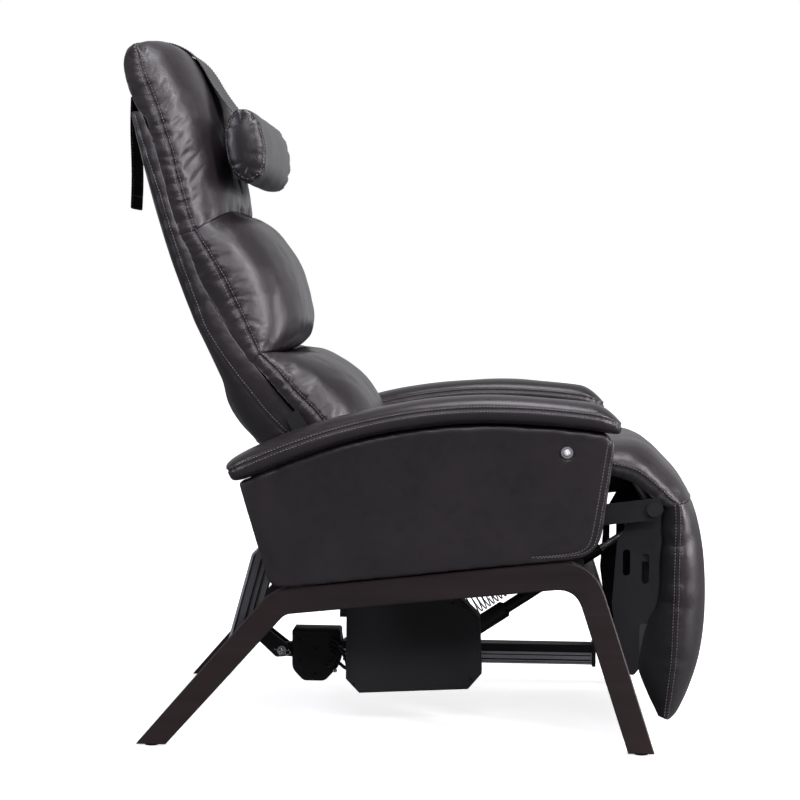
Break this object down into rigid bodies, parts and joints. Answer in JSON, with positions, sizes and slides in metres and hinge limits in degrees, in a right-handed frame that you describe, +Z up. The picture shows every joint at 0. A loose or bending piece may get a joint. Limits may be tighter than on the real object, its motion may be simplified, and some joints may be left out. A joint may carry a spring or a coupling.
{
  "type": "zero gravity recliner",
  "caption": "Power recliner with wooden side frames, padded arms, tilting seat, linked reclining back, swing-up leg rest and a strapped head pillow.",
  "frame": {"origin": "on the floor under the middle of the chair's overall box", "axes": "+Z up, -Y the way the sitter faces, +X the sitter's left"},
  "size_m": [0.7424, 0.995, 1.1659],
  "materials": {
    "leather": "very dark brown leather, soft sheen",
    "wood": "dark espresso stain, satin",
    "black_steel": "black powder coat",
    "zinc_steel": "bright zinc plate",
    "grey_panel": "light grey paint",
    "aluminium": "extruded, satin",
    "black_plastic": "moulded, fine texture",
    "stainless": "turned and polished",
    "strap": "black smooth strap with bound edges",
    "board": "plywood"
  },
  "bodies": {
    "base": {"side_frame_left": "wood", "side_frame_right": "wood", "foot_glide_front_left": "black_plastic", "foot_glide_front_right": "black_plastic", "foot_glide_rear_left": "black_plastic", "foot_glide_rear_right": "black_plastic", "arm_pad_left": "leather", "arm_pad_right": "leather", "arm_panel_left": "leather", "arm_panel_right": "leather", "button_bezel": "stainless", "base_bracket_left": "black_steel", "base_bracket_right": "black_steel", "front_cross_tube": "black_steel", "rear_cross_tube": "black_steel", "link_cross_shaft": "zinc_steel", "rear_skirt": "grey_panel", "actuator_bracket": "black_steel", "clevis_pin": "zinc_steel", "tilt_gearbox": "black_plastic", "tilt_motor": "black_steel", "drive_rail": "aluminium", "rail_channel": "black_steel", "rail_end_cap": "black_plastic", "control_box": "black_plastic", "power_inlet": "black_plastic", "motor_lead": "black_plastic"},
    "button": {"recline_button": "stainless"},
    "carriage": {"drive_carriage": "black_plastic"},
    "links": {"recline_link_left": "black_steel", "recline_link_right": "black_steel"},
    "seat": {"seat_rail_left": "black_steel", "seat_rail_right": "black_steel", "seat_cross_tube": "black_steel", "seat_pivot_shaft": "zinc_steel", "back_hinge_shaft": "zinc_steel", "legrest_hinge_shaft": "black_steel", "seat_lever": "black_steel", "seat_board": "board", "seat_cushion": "leather", "bridge_pad": "leather", "legrest_motor": "black_plastic", "legrest_drive_tube": "black_steel", "legrest_spring": "stainless"},
    "back": {"back_cushion_lower": "leather", "back_cushion_middle": "leather", "back_cushion_upper": "leather", "back_board": "board", "back_shell": "leather", "back_arm_left": "black_steel", "back_arm_right": "black_steel", "pillow_strap": "strap"},
    "legrest": {"legrest_cushion": "leather", "legrest_board": "board", "legrest_plate_left": "black_steel", "legrest_plate_right": "black_steel", "legrest_crossbar": "black_steel"},
    "drive_rod": {"legrest_drive_rod": "stainless"},
    "pillow": {"head_pillow": "leather"},
    "tail": {"strap_tail": "strap"}
  },
  "joints": [
    {"name": "seat_tilt", "type": "hinge", "parent": "base", "child": "seat", "pos_m": [0, -0.06, 0.351], "axis": [-1, 0, 0], "range_deg": [0, 12]},
    {"name": "back_recline", "type": "hinge", "parent": "seat", "child": "back", "pos_m": [0, 0.108, 0.332], "axis": [-1, 0, 0], "range_deg": [0, 24]},
    {"name": "link_swing", "type": "hinge", "parent": "base", "child": "links", "pos_m": [0, 0.074, 0.254], "axis": [-1, 0, 0], "range_deg": [-3.4, 0.4]},
    {"name": "carriage_slide", "type": "slide", "parent": "base", "child": "carriage", "axis": [0, -1, 0], "range_m": [0, 0.0405]},
    {"name": "legrest_raise", "type": "hinge", "parent": "seat", "child": "legrest", "pos_m": [0, -0.409, 0.391], "axis": [-1, 0, 0], "range_deg": [0, 78], "deforming": ["bridge_pad"]},
    {"name": "rod_slide", "type": "slide", "parent": "seat", "child": "drive_rod", "axis": [0, -0.8339, 0.5519], "range_m": [0, 0.053], "deforming": ["legrest_spring"]},
    {"name": "pillow_slide", "type": "slide", "parent": "back", "child": "pillow", "axis": [0, 0.2588, 0.9659], "range_m": [-0.025, 0.06], "deforming": ["pillow_strap"]},
    {"name": "tail_slide", "type": "slide", "parent": "back", "child": "tail", "axis": [0, 0, 1], "range_m": [-0.06, 0.025]},
    {"name": "button_press", "type": "slide", "parent": "base", "child": "button", "axis": [1, 0, 0], "range_m": [0, 0.0015], "stiffness_N_per_m": 600, "springref_m": -0.001}
  ],
  "couplings": [
    {"joint": "back_recline", "follows": "seat_tilt", "ratio": 2},
    {"joint": "link_swing", "follows": "seat_tilt", "ratio": -0.2733},
    {"joint": "carriage_slide", "follows": "seat_tilt", "m_per_rad": 0.19264},
    {"joint": "rod_slide", "follows": "legrest_raise", "m_per_rad": 0.038831},
    {"joint": "tail_slide", "follows": "pillow_slide", "ratio": -1}
  ]
}
